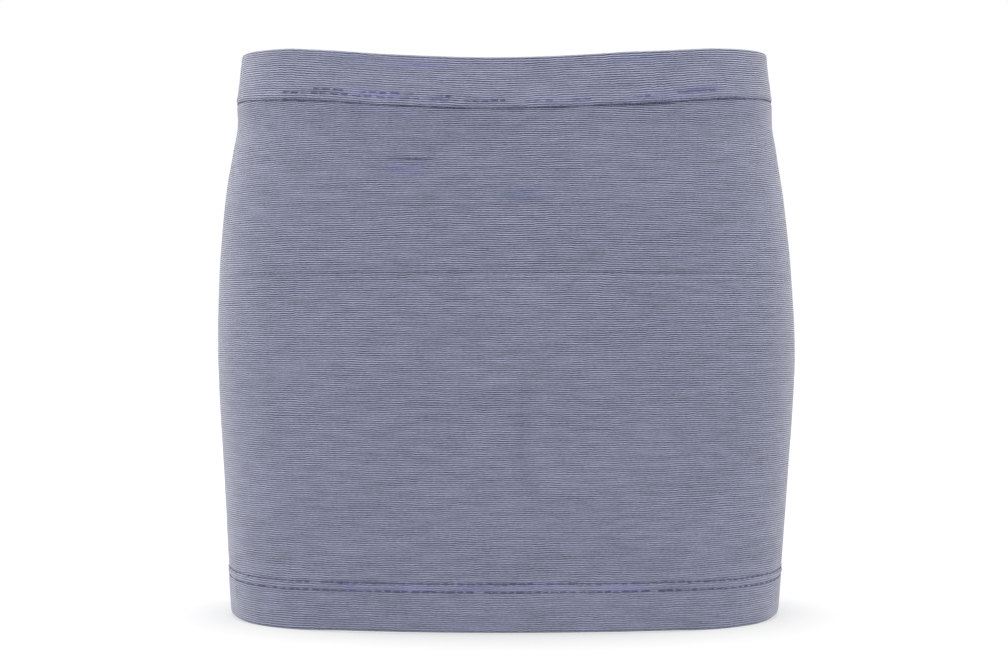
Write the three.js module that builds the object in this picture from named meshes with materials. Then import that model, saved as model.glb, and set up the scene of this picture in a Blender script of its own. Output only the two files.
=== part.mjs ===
// Pull-on mini skirt in fine ribbed jersey, kept in the hollow form that it has when it is worn.
// Millimetres, +Z up. The front faces -Y and +X is to the viewer's right.
// The origin is the middle of the waist opening, level with the top edge at the side seams.

import * as THREE from 'three';
import { mergeVertices } from 'three/addons/utils/BufferGeometryUtils.js';

// Levels are measured down from the top edge at the side seams
const SKIRT_LENGTH = 342;
const BAND_HEIGHT = 29.4;
const HEM_ALLOWANCE = 31;         // height of the turned-up hem
const HEM_EDGE_TO_LOWER_ROW = 22.9;
const HEM_ROWS_APART = 4.6;       // the two needles of the hem stitch
const SEAM_TO_TOPSTITCH = 5.1;

// The top edge dips at the middle of the front and rises at the middle of the back.
// Further down the dip fades, and the rib lines run level from the hips to the hem.
const FRONT_DIP = 13;
const BACK_RISE = 7;
const DIP_POWER = 1.7;
const DIP_FADES_AT = 130;

// Cloth walls
const CLOTH_WALL = 1.4;           // one layer of ribbed jersey
const BAND_WALL = 2.8;            // the waistband is folded double
const HEM_WALL = 2.6;             // the hem is turned up once
const HEM_STEP = 1.2;             // height over which the turned-up edge thins out
const HEM_ROUND = 0.7;            // rounding of the hem's fold
const FOLD_ROUND = 1.3;           // rounding of the waist's fold
const FOLD_SHOULDER = 0.3;        // place of the corner that rounds the fold, as a share of it

// Sewing: pieces stand apart at the seams, the cloth rolls into the waist seam over a short
// height on each side, and a stitched line pulls the outer face in by a shallow groove
const SEAM_GAP = 0.3;
const SEAM_ROLL = 0.6;
const BAND_ROLL_HEIGHT = 1.4;
const PANEL_ROLL_HEIGHT = 4;
const PANEL_ROLL_MIDDLE = { down: 1.6, inset: 0.15 };
const GROOVE_DEPTH = 0.35;
const GROOVE_HALF = 1.1;

// Steps of the mesh round half of the skirt, and its plain rows down a piece
const STEPS_ROUND = 38;
const BAND_PLAIN = { from: 8, to: 17, rows: 2 };
const PANEL_PLAIN = { from: 50, to: 290, rows: 13 };
const HEM_PLAIN = { from: 332, to: 332, rows: 1 };

// Sections of the outer face. left and right are the half-widths, front and back the half-depths,
// and square is the exponent of the rounded outline, where 2 is an ellipse.
const SECTIONS = [
  { level: 0, left: 162.3, right: 162.4, front: 104.0, back: 98.0, square: 2.30 },
  { level: 26, left: 166.0, right: 166.0, front: 106.8, back: 101.6, square: 2.30 },
  { level: 45, left: 165.3, right: 165.7, front: 108.8, back: 105.8, square: 2.30 },
  { level: 60, left: 167.4, right: 168.0, front: 111.0, back: 110.0, square: 2.35 },
  { level: 90, left: 172.0, right: 172.6, front: 114.0, back: 117.0, square: 2.40 },
  { level: 140, left: 176.2, right: 177.6, front: 117.0, back: 124.0, square: 2.45 },
  { level: 180, left: 176.8, right: 179.4, front: 118.5, back: 126.0, square: 2.50 },
  { level: 215, left: 175.5, right: 178.3, front: 118.5, back: 124.0, square: 2.50 },
  { level: 258, left: 172.6, right: 175.2, front: 118.0, back: 120.0, square: 2.55 },
  { level: 298, left: 170.3, right: 172.0, front: 117.5, back: 117.0, square: 2.65 },
  { level: 342, left: 168.2, right: 168.8, front: 117.0, back: 115.0, square: 2.75 },
];

// One column of the sections at any level, on a smooth curve through the rows
function sectionValue(column, level) {
  const last = SECTIONS.length - 1;
  const slope = (i) => {
    const before = SECTIONS[Math.max(i - 1, 0)];
    const after = SECTIONS[Math.min(i + 1, last)];
    return (after[column] - before[column]) / (after.level - before.level);
  };
  let i = 0;
  while (i < last - 1 && level > SECTIONS[i + 1].level) {
    i += 1;
  }
  const span = SECTIONS[i + 1].level - SECTIONS[i].level;
  const t = (level - SECTIONS[i].level) / span;
  const start = (1 + 2 * t) * (1 - t) ** 2 * SECTIONS[i][column];
  const end = t ** 2 * (3 - 2 * t) * SECTIONS[i + 1][column];
  const bendStart = t * (1 - t) ** 2 * span * slope(i);
  const bendEnd = t ** 2 * (t - 1) * span * slope(i + 1);
  return start + end + bendStart + bendEnd;
}

// How much of the top edge's dip is left at a level: all over the waistband, none at the hips
function dipShare(level) {
  return 1 - THREE.MathUtils.smoothstep(level, BAND_HEIGHT, DIP_FADES_AT);
}

// A point of the cloth: level is its place down the skirt, inset its depth behind the outer face,
// and angle runs round the skirt, 0 at the middle of the front and a quarter turn at the right seam.
function clothPoint(level, inset, angle) {
  const sine = Math.sin(angle);
  const cosine = Math.cos(angle);
  const square = sectionValue('square', level);
  const halfWidth = sectionValue(sine < 0 ? 'left' : 'right', level);
  const halfDepth = sectionValue(cosine > 0 ? 'front' : 'back', level);
  const reach = (Math.abs(sine) ** square + Math.abs(cosine) ** square) ** (-1 / square);
  const across = reach * sine;
  const along = reach * cosine;
  const normal = new THREE.Vector2(
    Math.sign(across) * Math.abs(across) ** (square - 1) / halfWidth,
    -Math.sign(along) * Math.abs(along) ** (square - 1) / halfDepth,
  ).normalize();
  const dip = dipShare(level) * (1 - Math.abs(across) ** DIP_POWER);
  const lift = dip * (cosine > 0 ? -FRONT_DIP : BACK_RISE);
  return new THREE.Vector3(
    halfWidth * across - normal.x * inset,
    -halfDepth * along - normal.y * inset,
    lift - level,
  );
}

// The loop of a wall's cross-section swept round half of the skirt. outer and inner are lists of
// [level, inset] of equal length, from top to bottom, and both ends stand back from the side seams.
function halfWall({ outer, inner }, middleAngle) {
  const loop = [...outer, ...[...inner].reverse()];
  const rows = loop.length;
  const positions = [];
  for (let step = 0; step <= STEPS_ROUND; step += 1) {
    const angle = middleAngle + Math.PI * (step / STEPS_ROUND - 0.5);
    const atSeam = step === 0 || step === STEPS_ROUND;
    for (const [level, inset] of loop) {
      const point = clothPoint(level, inset, angle);
      if (atSeam) {
        point.y = -Math.cos(middleAngle) * SEAM_GAP / 2;
      }
      positions.push(point.x, point.y, point.z);
    }
  }
  const faces = [];
  for (let step = 0; step < STEPS_ROUND; step += 1) {
    for (let row = 0; row < rows; row += 1) {
      const a = step * rows + row;
      const b = step * rows + (row + 1) % rows;
      faces.push(a, b, a + rows, b, b + rows, a + rows);
    }
  }
  const end = STEPS_ROUND * rows;
  for (let row = 0; row < outer.length - 1; row += 1) {
    const behind = rows - 1 - row;
    faces.push(row, behind, row + 1, row + 1, behind, behind - 1);
    faces.push(end + row, end + row + 1, end + behind);
    faces.push(end + row + 1, end + behind - 1, end + behind);
  }
  const geometry = new THREE.BufferGeometry();
  geometry.setAttribute('position', new THREE.Float32BufferAttribute(positions, 3));
  geometry.setIndex(faces);
  const welded = mergeVertices(geometry, 1e-3);
  welded.computeVertexNormals();
  return welded;
}

// Outer rows of a stitched line: level with the cloth, pulled in, and level again
function groove(level) {
  return [[level - GROOVE_HALF, 0], [level, GROOVE_DEPTH], [level + GROOVE_HALF, 0]];
}

// Outer rows of plain cloth, evenly spaced
function plainRows({ from, to, rows }) {
  const step = (to - from) / Math.max(rows - 1, 1);
  return Array.from({ length: rows }, (_, i) => [from + step * i, 0]);
}

// The waistband: a fold at the top, a line of topstitching, and an edge that rolls into the seam
function bandProfile() {
  const bottom = BAND_HEIGHT - SEAM_GAP / 2;
  const shoulder = FOLD_ROUND * FOLD_SHOULDER;
  const outer = [
    [0, FOLD_ROUND],
    [shoulder, shoulder],
    [FOLD_ROUND, 0],
    ...plainRows(BAND_PLAIN),
    ...groove(BAND_HEIGHT - SEAM_TO_TOPSTITCH),
    [bottom - BAND_ROLL_HEIGHT, 0],
    [bottom, SEAM_ROLL],
  ];
  const inner = outer.map(([level]) => [level, BAND_WALL]);
  inner[0] = [0, BAND_WALL - FOLD_ROUND];
  inner[1] = [shoulder, BAND_WALL - shoulder];
  return { outer, inner };
}

// A body panel: one layer of cloth, double over the turned-up hem
function panelProfile() {
  const top = BAND_HEIGHT + SEAM_GAP / 2;
  const hemTop = SKIRT_LENGTH - HEM_ALLOWANCE;
  const lowerRow = SKIRT_LENGTH - HEM_EDGE_TO_LOWER_ROW;
  const outer = [
    [top, SEAM_ROLL],
    [top + PANEL_ROLL_MIDDLE.down, PANEL_ROLL_MIDDLE.inset],
    [top + PANEL_ROLL_HEIGHT, 0],
    ...plainRows(PANEL_PLAIN),
    [hemTop - HEM_STEP, 0],
    [hemTop, 0],
    ...groove(lowerRow - HEM_ROWS_APART),
    ...groove(lowerRow),
    ...plainRows(HEM_PLAIN),
    [SKIRT_LENGTH - HEM_ROUND, 0],
    [SKIRT_LENGTH, HEM_ROUND],
  ];
  const inner = outer.map(([level]) => [level, level < hemTop ? CLOTH_WALL : HEM_WALL]);
  inner[0] = [top, SEAM_ROLL + CLOTH_WALL];
  inner[outer.length - 1] = [SKIRT_LENGTH, HEM_WALL - HEM_ROUND];
  return { outer, inner };
}

// Each half is centred on the middle of the front or of the back
const HALVES = { front: 0, back: Math.PI };
const JERSEY = { color: 0x7d8095, roughness: 0.85, metalness: 0 };

const skirt = new THREE.Group();
for (const [half, middleAngle] of Object.entries(HALVES)) {
  const pieces = { [`waistband_${half}`]: bandProfile(), [`skirt_${half}`]: panelProfile() };
  for (const [name, profile] of Object.entries(pieces)) {
    const mesh = new THREE.Mesh(
      halfWall(profile, middleAngle),
      new THREE.MeshStandardMaterial(JERSEY),
    );
    mesh.name = name;
    skirt.add(mesh);
  }
}

export default skirt;
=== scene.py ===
"""Pull-on mini skirt in fine ribbed jersey, kept in the hollow form that it has when it is worn.

Sizes are millimetres until a mesh is made. +Z is up, the front faces -Y, and the origin is the
middle of the waist opening, level with the top edge at the side seams.
"""
import math
from collections import namedtuple

import bpy
import numpy as np
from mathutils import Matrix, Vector


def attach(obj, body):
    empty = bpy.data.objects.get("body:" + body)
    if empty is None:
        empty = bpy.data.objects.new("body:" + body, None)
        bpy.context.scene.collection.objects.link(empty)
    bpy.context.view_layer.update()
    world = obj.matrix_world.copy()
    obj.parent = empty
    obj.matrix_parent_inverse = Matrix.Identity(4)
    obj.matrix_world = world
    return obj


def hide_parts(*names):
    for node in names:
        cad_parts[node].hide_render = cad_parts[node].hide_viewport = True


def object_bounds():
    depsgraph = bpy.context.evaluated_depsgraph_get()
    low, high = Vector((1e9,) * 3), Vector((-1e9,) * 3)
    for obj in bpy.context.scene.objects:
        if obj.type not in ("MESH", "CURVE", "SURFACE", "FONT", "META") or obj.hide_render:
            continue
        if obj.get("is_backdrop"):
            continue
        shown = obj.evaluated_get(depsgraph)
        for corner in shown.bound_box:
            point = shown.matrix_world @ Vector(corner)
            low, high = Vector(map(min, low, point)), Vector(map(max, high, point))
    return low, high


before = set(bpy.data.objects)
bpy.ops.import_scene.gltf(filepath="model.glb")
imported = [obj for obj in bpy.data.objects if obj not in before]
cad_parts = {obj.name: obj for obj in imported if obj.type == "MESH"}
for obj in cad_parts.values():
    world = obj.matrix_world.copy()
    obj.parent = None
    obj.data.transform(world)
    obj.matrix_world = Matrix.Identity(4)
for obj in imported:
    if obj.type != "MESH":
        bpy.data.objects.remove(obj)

CAD_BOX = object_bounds()

# The form, as in the solids. Levels are measured down from the top edge at the side seams.
SKIRT_LENGTH = 342.0
BAND_HEIGHT = 29.4
HEM_ALLOWANCE = 31.0
LOWER_ROW = SKIRT_LENGTH - 22.9
HEM_ROWS_APART = 4.6
UPPER_ROW = LOWER_ROW - HEM_ROWS_APART
FRONT_DIP = 13.0
BACK_RISE = 7.0
DIP_POWER = 1.7
DIP_FADES_AT = 130.0
CLOTH_WALL = 1.4
BAND_WALL = 2.8
HEM_WALL = 2.6

Section = namedtuple("Section", "level left right front back square")
SECTIONS = [
    Section(0, 162.3, 162.4, 104.0, 98.0, 2.30),
    Section(26, 166.0, 166.0, 106.8, 101.6, 2.30),
    Section(45, 165.3, 165.7, 108.8, 105.8, 2.30),
    Section(60, 167.4, 168.0, 111.0, 110.0, 2.35),
    Section(90, 172.0, 172.6, 114.0, 117.0, 2.40),
    Section(140, 176.2, 177.6, 117.0, 124.0, 2.45),
    Section(180, 176.8, 179.4, 118.5, 126.0, 2.50),
    Section(215, 175.5, 178.3, 118.5, 124.0, 2.50),
    Section(258, 172.6, 175.2, 118.0, 120.0, 2.55),
    Section(298, 170.3, 172.0, 117.5, 117.0, 2.65),
    Section(342, 168.2, 168.8, 117.0, 115.0, 2.75),
]

# The jersey's cross ribs. The body's grow finer downwards: depth below the origin, and pitch there.
RIB_PITCH = ((0, 1.275), (150, 1.265), (250, 1.250), (342, 1.245))
BAND_RIB_PITCH = 1.27
RIB_DEPTH = 0.30
ROWS_PER_RIB = 4
RIB_DEPTHS = np.arange(SKIRT_LENGTH + 1)
RIBS_ABOVE = np.append(0, np.cumsum(1 / np.interp(RIB_DEPTHS[:-1] + 0.5, *zip(*RIB_PITCH))))

# Seams and folds of the dressed cloth
SIDE_GAP = 0.10
WAIST_GAP = 0.08
WAIST_FOLD = 1.35
HEM_FOLD = 1.25
SEAM_ALLOWANCE = 7.0
ALLOWANCE_WALL = 1.3              # what a seam allowance adds to the wall, inside
INNER_CLEARANCE = 0.15            # how far the inner face lies behind the wall's own thickness
THINNEST_PANEL = 0.25             # least thickness where creases would thin the wall
THINNEST_BAND = 0.1
THREAD_DENT = 0.3                 # dent of a stitched row in the inner face
THREAD_DENT_REACH = 0.8

# How the cloth rolls in beside the side seams, below the waist seam and above it
SIDE_ROLL = 0.40
SIDE_ROLL_REACH = 0.7
PANEL_ROLL = 0.8
PANEL_ROLL_HEIGHT = 2.8
BAND_ROLL = 0.9
BAND_ROLL_HEIGHT = 1.7
BAND_BULGE = 0.35                 # the band stands out a little just above its seam
BAND_BULGE_REACH = 2.2
BAND_BULGE_ABOVE_SEAM = 2.6

# The hem's two sewn rows pull the cloth in, and it stands up between them
ROW_PULL = 0.45
ROW_PULL_REACH = 0.75
TUNNEL = 0.40
TUNNEL_REACH = 1.3
HEM_FULLNESS = 0.25
PUCKER = 0.20
PUCKER_REACH = 5.0
PUCKER_WIDE = 15
PUCKER_TALL = 90
PUCKER_SEEDS = {"waist_seam": 33, "hem_rows": 34, "band": 35}
BETWEEN_ROWS = (UPPER_ROW + LOWER_ROW) / 2
NEAR_ROWS = 4.0                   # how far from the rows the ribs are held straight and flattened

# Heights beside an edge or seam over which the ribs are straightened, and how far they wander
PANEL_STRAIGHT = 9
BAND_TOP_STRAIGHT = 7
BAND_SEAM_STRAIGHT = 6
HELD_BY_ROWS = 0.8                # how much of the wandering the hem's rows take away
FLATTENED_BY_ROWS = 0.3           # and of the ribs' height
BAND_WANDER = 0.8                 # share of the body's wandering
BAND_WANDER_FROM = 330            # its wandering is the body's, read upwards from here
BAND_FIRST_RIB = 60               # its ribs' heights are the drawn ones from here on
INNER_ROLL = 0.3                  # share of the band's roll that its inner face takes

# Spacing of the columns of points
COLUMNS_BY_THE_SEAM = (0.0, 0.8, 2.0, 4.0, 6.9, 7.5)
PANEL_COLUMN = 6.0
BAND_COLUMN = 2.6
INNER_ROW_STEP = 16               # rows of the outer face for each plain row of the inner


def bell(away, reach, power=2):
    """From 1 at a place down to 0 well beyond its reach."""
    return np.exp(-(away / reach) ** power)


def smoothstep(value, start, end):
    t = np.clip((value - start) / (end - start), 0, 1)
    return t * t * (3 - 2 * t)


def section_value(column, level):
    """One column of the sections at any level, on a smooth curve through the rows."""
    levels = np.array([row.level for row in SECTIONS], float)
    values = np.array([getattr(row, column) for row in SECTIONS], float)
    before = np.maximum(np.arange(len(levels)) - 1, 0)
    after = np.minimum(np.arange(len(levels)) + 1, len(levels) - 1)
    slopes = (values[after] - values[before]) / (levels[after] - levels[before])
    i = np.clip(np.searchsorted(levels, level) - 1, 0, len(levels) - 2)
    span = levels[i + 1] - levels[i]
    t = (level - levels[i]) / span
    return (
        (1 + 2 * t) * (1 - t) ** 2 * values[i]
        + t ** 2 * (3 - 2 * t) * values[i + 1]
        + t * (1 - t) ** 2 * span * slopes[i]
        + t ** 2 * (t - 1) * span * slopes[i + 1]
    )


def lift_at(level, across, cosine):
    """How far the top edge's dip at the front, or rise at the back, still lifts the cloth."""
    share = 1 - smoothstep(level, BAND_HEIGHT, DIP_FADES_AT)
    return share * (1 - np.abs(across) ** DIP_POWER) * np.where(cosine > 0, -FRONT_DIP, BACK_RISE)


def cloth_point(level, inset, angle, drop=0.0):
    """Points of the cloth. level is their place down the skirt, inset their depth behind the outer
    face, and angle runs round it, 0 at the middle of the front and a quarter turn at the right seam."""
    level, inset, angle = np.broadcast_arrays(level, inset, angle)
    sine, cosine = np.sin(angle), np.cos(angle)
    square = section_value("square", level)
    width = np.where(sine < 0, section_value("left", level), section_value("right", level))
    depth = np.where(cosine > 0, section_value("front", level), section_value("back", level))
    reach = (np.abs(sine) ** square + np.abs(cosine) ** square) ** (-1 / square)
    across, along = reach * sine, reach * cosine
    normal_x = np.sign(across) * np.abs(across) ** (square - 1) / width
    normal_y = -np.sign(along) * np.abs(along) ** (square - 1) / depth
    size = np.hypot(normal_x, normal_y)
    return np.stack([
        width * across - normal_x / size * inset,
        -depth * along - normal_y / size * inset,
        lift_at(level, across, cosine) - level - drop,
    ], axis=-1)


# Length round the skirt, measured at the hips from the middle of the front
HIP_LEVEL = 180.0
TURN_POINTS = 1441
TURN = np.linspace(-math.pi / 2, 3 * math.pi / 2, TURN_POINTS)
HIP_LINE = cloth_point(HIP_LEVEL, 0.0, TURN)
TURN_LENGTH = np.concatenate([[0], np.cumsum(np.linalg.norm(np.diff(HIP_LINE, axis=0), axis=1))])
TURN_LENGTH -= np.interp(0.0, TURN, TURN_LENGTH)
ROUND_IT = TURN_LENGTH[-1] - TURN_LENGTH[0]


def around_at(angle):
    return np.interp(angle, TURN, TURN_LENGTH)


def angle_at(around):
    return np.interp(around, TURN_LENGTH, TURN)


# Rows of spots above the top edge and in all beyond the cloth, fewest spots round the skirt, and
# whole turns added so that no place is below zero
NOISE_ROWS_ABOVE = 2
NOISE_ROWS_SPARE = 6
NOISE_LEAST_ROUND = 4
NOISE_TURNS = 4


def noise(around, level, seed, wide, tall):
    """Smooth unevenness from -1 to 1, closed round the skirt, in spots of wide by tall."""
    cells = max(round(ROUND_IT / wide), NOISE_LEAST_ROUND)
    rows = int(SKIRT_LENGTH / tall) + NOISE_ROWS_SPARE
    grid = np.random.default_rng(seed).uniform(-1, 1, (rows, cells))
    u = around / ROUND_IT * cells + NOISE_TURNS * cells
    v = np.clip(level / tall + NOISE_ROWS_ABOVE, 0, rows - 2)
    i, j = np.floor(u).astype(int), np.floor(v).astype(int)
    u, v = u - i, v - j
    u, v = u * u * (3 - 2 * u), v * v * (3 - 2 * v)
    left, right = i % cells, (i + 1) % cells
    upper = grid[j, left] * (1 - u) + grid[j, right] * u
    lower = grid[j + 1, left] * (1 - u) + grid[j + 1, right] * u
    return upper * (1 - v) + lower * v


# size is how far the unevenness goes either way, seed its random draw, and its spots are wide by tall
Spots = namedtuple("Spots", "size seed wide tall")
BROAD_SPOTS = (Spots(0.40, 11, 84, 62), Spots(0.20, 12, 33, 18))
BAND_BROAD_SPOTS = (Spots(0.30, 14, 60, 20),)
BAND_SMALL_SPOTS = (Spots(0.12, 15, 18, 12),)
WANDER_SPOTS = (Spots(0.55, 21, 44, 26), Spots(0.19, 22, 15, 11), Spots(0.13, 23, 13, 8))
HEIGHT_SPOTS = (Spots(0.26, 42, 26, 5), Spots(0.18, 43, 90, 40))
ROW_PULL_SPOTS = (Spots(0.35, 31, 14, 60),)
TUNNEL_SPOTS = (Spots(0.5, 32, 24, 60),)
ALLOWANCE_SPOTS = (Spots(0.1, 71, 12, 60),)
BAND_WALL_SPOTS = (Spots(0.15, 72, 30, 20),)


def unevenness(around, level, parts):
    """Several sizes of smooth unevenness together."""
    return sum(part.size * noise(around, level, part.seed, part.wide, part.tall) for part in parts)


# Soft troughs and ridges, listed one by one. at is the length round from the middle of the half that
# the crease is on, to the viewer's right of that half, reach and breadth are its half-length and
# half-breadth, depth is how far it goes in, or out where it is below zero, and lean is how far
# it runs down for each millimetre along.
Crease = namedtuple("Crease", "half at level reach breadth depth lean")
CREASES = [
    Crease("front", 12, 224, 7, 34, 0.45, 0.0),
    Crease("front", 4, 199, 22, 3.0, -0.30, 0.05),
    Crease("front", -57, 64, 18, 1.6, 0.40, 0.0),
    Crease("front", -92, 150, 46, 5.0, 0.35, 0.10),
    Crease("front", 88, 172, 52, 6.0, 0.30, -0.08),
    Crease("front", -120, 236, 44, 5.0, 0.30, -0.06),
    Crease("front", 130, 104, 34, 4.0, 0.35, 0.12),
    Crease("front", -150, 92, 30, 4.0, 0.35, -0.14),
    Crease("front", 62, 268, 60, 6.0, -0.30, 0.04),
    Crease("front", -30, 286, 54, 5.0, 0.28, -0.03),
    Crease("front", 176, 200, 30, 7.0, 0.40, 0.10),
    Crease("front", -186, 176, 30, 7.0, 0.40, -0.10),
    Crease("back", 0, 112, 10, 46, 0.70, 0.0),
    Crease("back", -60, 84, 60, 4.5, 0.45, 0.10),
    Crease("back", 66, 92, 56, 4.5, 0.45, -0.12),
    Crease("back", -96, 168, 60, 6.0, 0.35, -0.07),
    Crease("back", 84, 190, 56, 6.0, 0.35, 0.06),
    Crease("back", 10, 236, 76, 6.0, 0.45, 0.02),
    Crease("back", -130, 262, 48, 5.0, 0.30, -0.05),
    Crease("back", 142, 250, 44, 5.0, 0.30, 0.08),
    Crease("back", 174, 128, 30, 6.0, 0.35, -0.12),
    Crease("back", -178, 140, 30, 6.0, 0.35, 0.12),
]
MIDDLES = {"front": 0.0, "back": math.pi}


def crease_inset(around, level):
    """Inset of the creases together."""
    total = np.zeros(np.broadcast(around, level).shape)
    for crease in CREASES:
        offset = around - around_at(MIDDLES[crease.half]) - crease.at
        offset = (offset + ROUND_IT / 2) % ROUND_IT - ROUND_IT / 2
        away = level - crease.level - crease.lean * offset
        total += crease.depth * bell(offset, crease.reach) * bell(away, crease.breadth)
    return total


# The unevenness fades in below the waist, dies down towards the hem and is less beside the side seams
CALM_WAIST = (0, 20)
CALM_HEM = (325, SKIRT_LENGTH)
CALM_HEM_SHARE = 0.6
CALM_SEAM_REACH = 40
LEFT_AT_SEAM = 0.3


def broad_inset(around, level):
    """Large soft unevenness and creases: how far the whole thickness of the cloth stands back."""
    calm = smoothstep(level, *CALM_WAIST) * (1 - smoothstep(level, *CALM_HEM) * CALM_HEM_SHARE)
    seams = around_at(np.array([-math.pi / 2, math.pi / 2, 3 * math.pi / 2]))
    away = np.min([np.abs(around - seam) for seam in seams], axis=0)
    near_seam = LEFT_AT_SEAM + (1 - LEFT_AT_SEAM) * smoothstep(away, 0, CALM_SEAM_REACH)
    shape = calm * unevenness(around, level, BROAD_SPOTS) + crease_inset(around, level)
    return shape * near_seam + side_inset(angle_at(around), level)


def wander(around, level):
    """How far the ribs wander up and down from a true course."""
    return unevenness(around, level, WANDER_SPOTS)


# The edges aren't quite true. Each row gives a place across the skirt, and how far the edge hangs
# below its true line there.
WAIST_TRIM = (
    (-160, 0.6), (-147, 0.2), (-127, -0.8), (-100, -0.4), (-70, 0.3), (-25, 0.3), (0, 0.0),
    (30, -0.2), (50, -0.5), (72, -1.0), (95, -0.7), (125, -1.0), (140, -0.5), (160, 0.0),
)
HEM_TRIM = (
    (-168, -1.5), (-163, -0.5), (-158, 0.4), (-154, 0.9), (-147, 1.3), (-138, 1.5), (-124, 1.4),
    (-110, 0.9), (-93, 0.4), (-70, 0.3), (-25, 0.5), (0, 0.6), (50, 0.4), (80, 0.4), (100, 0.6),
    (113, 1.1), (127, 1.6), (140, 1.4), (150, 1.3), (158, 0.6), (163, -0.4), (168, -1.6),
)
SEAM_TRIM = (
    (-165, 0.9), (-140, 0.9), (-120, 0.5), (-100, 0.3), (-76, 0.6), (-48, 0.5), (-21, 0.6),
    (7, 0.1), (34, 0.2), (55, 0.4), (76, 0.85), (89, 0.75), (103, 0.35), (130, 0.0), (165, 0.0),
)
# Level, and how far the left and the right side stand out from the sections there
SIDE_TRIM = (
    (0, 0.3, 0.7), (8, 0.0, 0.0), (15, -0.6, -0.5), (25, -0.7, -0.5), (32, -0.1, 0.2),
    (41, 0.0, 0.8), (51, 0.4, 0.8), (76, 0.9, 0.5), (113, 0.3, 0.8), (151, -0.3, 0.4),
    (201, 0.0, 0.4), (251, 0.7, 0.4), (288, 0.3, 0.2), (325, 0.0, 0.0), (342, -0.5, -0.2),
)


TRIM_BEHIND = 55.0                # how far behind the side seams the edges are still untrue
WAIST_TRIM_ENDS = (4, 44)         # levels over which the waist's fades out
SEAM_TRIM_REACH = 14              # how far the waist seam's reaches up and down
HEM_TRIM_STARTS = (296, 340)      # levels over which the hem's fades in
SIDE_POWER = 8                    # how closely the sides' keeps to the side seams


def edge_trim(table, level, angle):
    place = cloth_point(level, 0.0, angle)
    across, behind = place[..., 0], np.maximum(place[..., 1], 0)
    return np.interp(across, *zip(*table)) * bell(behind, TRIM_BEHIND)


def edge_drop(angle, level):
    """How far the cloth hangs below its true level, because of the edge or seam close to it."""
    waist = 1 - smoothstep(level, *WAIST_TRIM_ENDS)
    seam = bell(level - BAND_HEIGHT, SEAM_TRIM_REACH)
    hem = smoothstep(level, *HEM_TRIM_STARTS)
    return (
        waist * edge_trim(WAIST_TRIM, 0.0, angle)
        + seam * edge_trim(SEAM_TRIM, BAND_HEIGHT, angle)
        + hem * edge_trim(HEM_TRIM, SKIRT_LENGTH, angle)
    )


def at_sides(angle):
    """From 0 over most of the front and back to 1 at the side seams."""
    return np.abs(np.sin(angle)) ** SIDE_POWER


def side_inset(angle, level):
    levels, left, right = zip(*SIDE_TRIM)
    out = np.where(np.sin(angle) < 0, np.interp(level, levels, left), np.interp(level, levels, right))
    return -out * at_sides(angle)


def ribs_above(depth):
    """How many of the body's ribs would fit between the origin and a depth below it."""
    return np.interp(depth, RIB_DEPTHS, RIBS_ABOVE)


def rib_inset(ribs):
    """Inset across the ribs, counted from a valley at 0. Valleys are narrower than crests."""
    return RIB_DEPTH * ((1 + np.cos(2 * math.pi * ribs)) / 2) ** 2


def half_columns(middle, spacing):
    """Places round one half of the skirt, close together beside the side seams."""
    ends = np.interp([middle - math.pi / 2, middle + math.pi / 2], TURN, TURN_LENGTH)
    near = np.array(COLUMNS_BY_THE_SEAM)
    count = round((ends[1] - ends[0] - 2 * near[-1]) / spacing)
    plain = np.linspace(ends[0] + near[-1], ends[1] - near[-1], count + 1)
    return np.concatenate([ends[0] + near[:-1], plain, (ends[1] - near[:-1])[::-1]])


def fold_inset(depth, radius):
    """Inset of a rounded fold at a depth below its edge."""
    t = np.clip(radius - depth, 0, radius)
    return radius - np.sqrt(radius ** 2 - t ** 2)


def seam_side_inset(edge_distance):
    """The cloth rolls in beside a side seam."""
    return SIDE_ROLL * np.exp(-edge_distance / SIDE_ROLL_REACH)


def stitched_inset(around, level):
    """The hem's two sewn rows, the cloth standing up between them, and the fuller double cloth."""
    pull = 1 + unevenness(around, level, ROW_PULL_SPOTS)
    rows = sum(ROW_PULL * pull * bell(level - row, ROW_PULL_REACH) for row in (UPPER_ROW, LOWER_ROW))
    between = bell(level - BETWEEN_ROWS, TUNNEL_REACH)
    tunnel = TUNNEL * (1 + unevenness(around, level, TUNNEL_SPOTS)) * between
    full = HEM_FULLNESS * smoothstep(level, UPPER_ROW - 2, LOWER_ROW + 3)
    return rows - tunnel - full


def pucker(around, away, seed):
    """Short ripples that run up and down from a sewn line."""
    ripple = noise(around, away, seed, PUCKER_WIDE, PUCKER_TALL)
    return PUCKER * ripple * np.exp(-np.abs(away) / PUCKER_REACH)
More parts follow.
